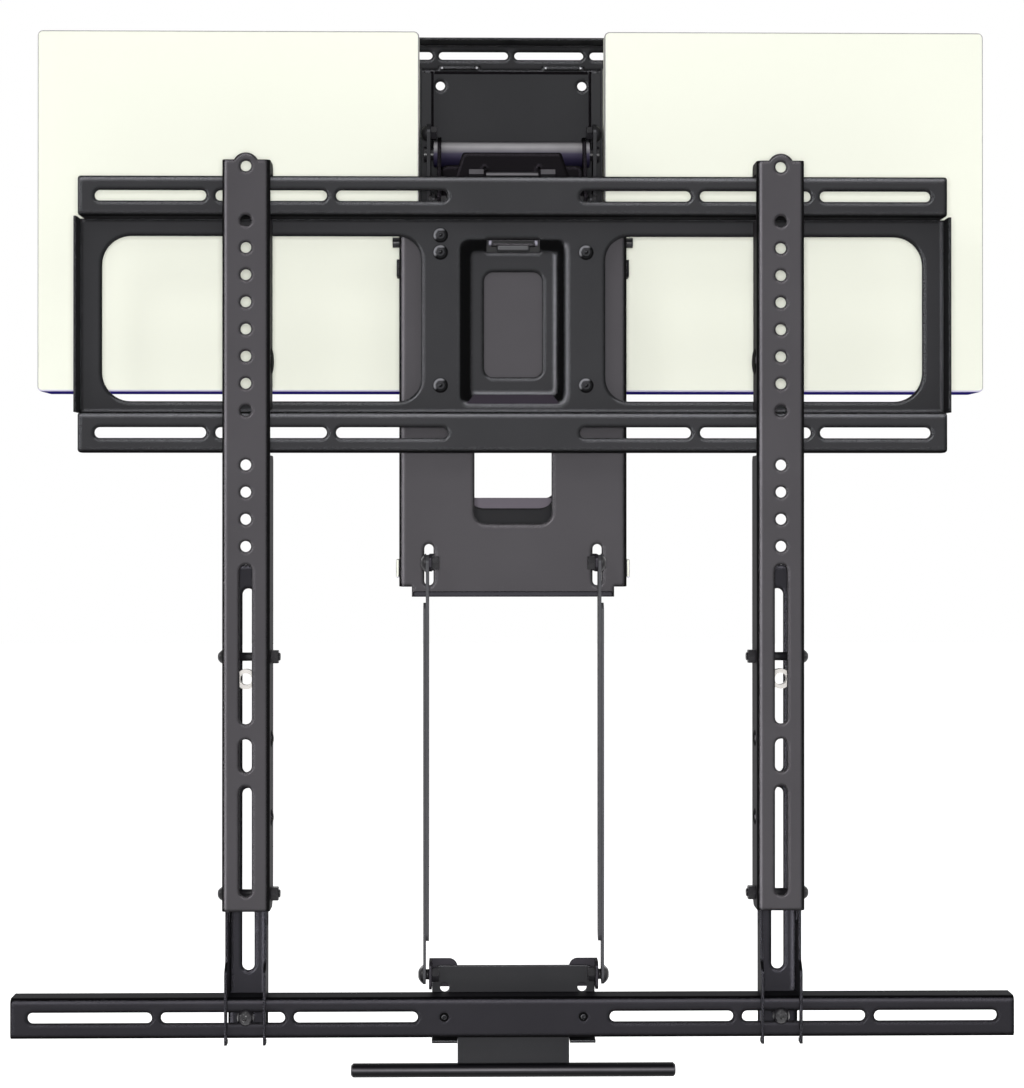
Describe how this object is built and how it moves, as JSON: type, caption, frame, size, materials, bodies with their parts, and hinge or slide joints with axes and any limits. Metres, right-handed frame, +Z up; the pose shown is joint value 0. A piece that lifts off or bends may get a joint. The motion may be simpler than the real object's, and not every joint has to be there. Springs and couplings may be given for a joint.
{
  "type": "pull-down tv wall mount",
  "caption": "Pull-down television wall mount with lifting arms, gas springs, tilting and swivelling screen frame, sliding uprights, soundbar rail and pull handle.",
  "frame": {"origin": "on the wall face, midway between the two rows of wall screws, on the centre line", "axes": "+X to the viewer's right, +Y into the wall, +Z up"},
  "size_m": [0.924, 0.15, 0.9925],
  "materials": {
    "black_powder": "fine textured satin black powder coat",
    "frame_powder": "satin black powder coat",
    "bracket_powder": "satin charcoal powder coat",
    "cover_cream": "smooth cream paint",
    "black_bolt": "black oxide, semi-gloss",
    "strap_steel": "grey powder coat",
    "nylon_white": "natural nylon",
    "rubber_black": "matt",
    "steel_bright": "ground steel",
    "grip_black": "semi-gloss black"
  },
  "bodies": {
    "wall": {"wall_rail_upper": "frame_powder", "wall_rail_lower": "frame_powder", "wall_plate": "frame_powder", "cheek_left": "black_powder", "cheek_right": "black_powder", "cover_left": "cover_cream", "cover_right": "cover_cream", "cover_clips": "black_powder", "arm_bumpers": "rubber_black", "arm_pivot_bolts": "black_bolt", "link_pivot_bolts": "black_bolt", "spring_anchors": "black_powder", "lower_spring_pins": "black_bolt"},
    "main_arms": {"main_arm_left": "black_powder", "main_arm_right": "black_powder", "arm_tie_bar": "black_powder", "stop_bolts": "black_bolt", "upper_spring_pins": "black_bolt"},
    "front_links": {"front_link_left": "black_powder", "front_link_right": "black_powder"},
    "carrier": {"pivot_tube": "bracket_powder", "carrier_frame": "black_powder", "hood": "black_powder", "hood_bolt": "black_bolt", "axle_bolts": "black_bolt", "link_top_bolts": "black_bolt", "kingpin": "black_bolt"},
    "gas_cylinders": {"gas_cylinder_left": "black_powder", "gas_cylinder_right": "black_powder"},
    "gas_rods": {"gas_rod_left": "steel_bright", "gas_rod_right": "steel_bright"},
    "swivel": {"swivel_yoke": "black_powder", "tilt_bolts": "black_bolt"},
    "tilt": {"front_panel": "bracket_powder", "tv_frame": "frame_powder", "frame_spacers": "black_powder", "frame_bolts": "black_bolt", "upper_strap_ears": "black_powder", "upper_strap_left": "strap_steel", "upper_strap_right": "strap_steel", "upper_strap_bolts": "black_bolt"},
    "bracket_left": {"tv_bracket_left": "bracket_powder", "bracket_bolts_left": "black_bolt", "guide_ring_left": "nylon_white"},
    "bracket_right": {"tv_bracket_right": "bracket_powder", "bracket_bolts_right": "black_bolt", "guide_ring_right": "nylon_white"},
    "inner_left": {"inner_channel_left": "bracket_powder", "rail_clamp_left": "black_bolt"},
    "inner_right": {"inner_channel_right": "bracket_powder", "rail_clamp_right": "black_bolt"},
    "soundbar_stage": {"soundbar_rail": "frame_powder", "rail_bolts": "black_bolt", "handle_bracket": "frame_powder", "handle_bar": "grip_black", "lower_strap_left": "strap_steel", "lower_strap_right": "strap_steel", "lower_strap_ears": "black_powder", "lower_strap_bolts": "black_bolt"}
  },
  "joints": [
    {"name": "lift", "type": "hinge", "parent": "wall", "child": "main_arms", "pos_m": [0, -0.032, -0.217], "axis": [1, 0, 0], "range_deg": [0, 105], "stiffness_Nm_per_rad": 60, "springref_deg": -68.75},
    {"name": "link_lift", "type": "hinge", "parent": "wall", "child": "front_links", "pos_m": [0, -0.062, -0.269], "axis": [1, 0, 0], "range_deg": [0, 105]},
    {"name": "carrier_level", "type": "hinge", "parent": "main_arms", "child": "carrier", "pos_m": [0, -0.032, 0.053], "axis": [1, 0, 0], "range_deg": [-105, 0]},
    {"name": "cylinder_swing", "type": "hinge", "parent": "wall", "child": "gas_cylinders", "pos_m": [0, -0.032, -0.363], "axis": [1, 0, 0], "range_deg": [0, 52.5]},
    {"name": "rod_swing", "type": "hinge", "parent": "main_arms", "child": "gas_rods", "pos_m": [0, -0.032, -0.071], "axis": [1, 0, 0], "range_deg": [-52.5, 0]},
    {"name": "swivel_turn", "type": "hinge", "parent": "carrier", "child": "swivel", "pos_m": [0, -0.074, -0.04], "axis": [0, 0, 1], "range_deg": [-6, 6]},
    {"name": "tilt_turn", "type": "hinge", "parent": "swivel", "child": "tilt", "pos_m": [0, -0.092, -0.041], "axis": [1, 0, 0], "range_deg": [-5, 5]},
    {"name": "bracket_slide_left", "type": "slide", "parent": "tilt", "child": "bracket_left", "axis": [1, 0, 0], "range_m": [-0.07, 0.025]},
    {"name": "bracket_slide_right", "type": "slide", "parent": "tilt", "child": "bracket_right", "axis": [1, 0, 0], "range_m": [-0.025, 0.07]},
    {"name": "soundbar_height", "type": "slide", "parent": "tilt", "child": "soundbar_stage", "axis": [0, 0, 1], "range_m": [-0.06, 0.025]},
    {"name": "inner_height_left", "type": "slide", "parent": "bracket_left", "child": "inner_left", "axis": [0, 0, 1], "range_m": [-0.06, 0.025]},
    {"name": "inner_height_right", "type": "slide", "parent": "bracket_right", "child": "inner_right", "axis": [0, 0, 1], "range_m": [-0.06, 0.025]}
  ],
  "couplings": [
    {"joint": "link_lift", "follows": "lift", "ratio": 1},
    {"joint": "carrier_level", "follows": "lift", "ratio": -1},
    {"joint": "cylinder_swing", "follows": "lift", "ratio": 0.5},
    {"joint": "rod_swing", "follows": "lift", "ratio": -0.5},
    {"joint": "inner_height_left", "follows": "soundbar_height", "ratio": 1},
    {"joint": "inner_height_right", "follows": "soundbar_height", "ratio": 1}
  ]
}
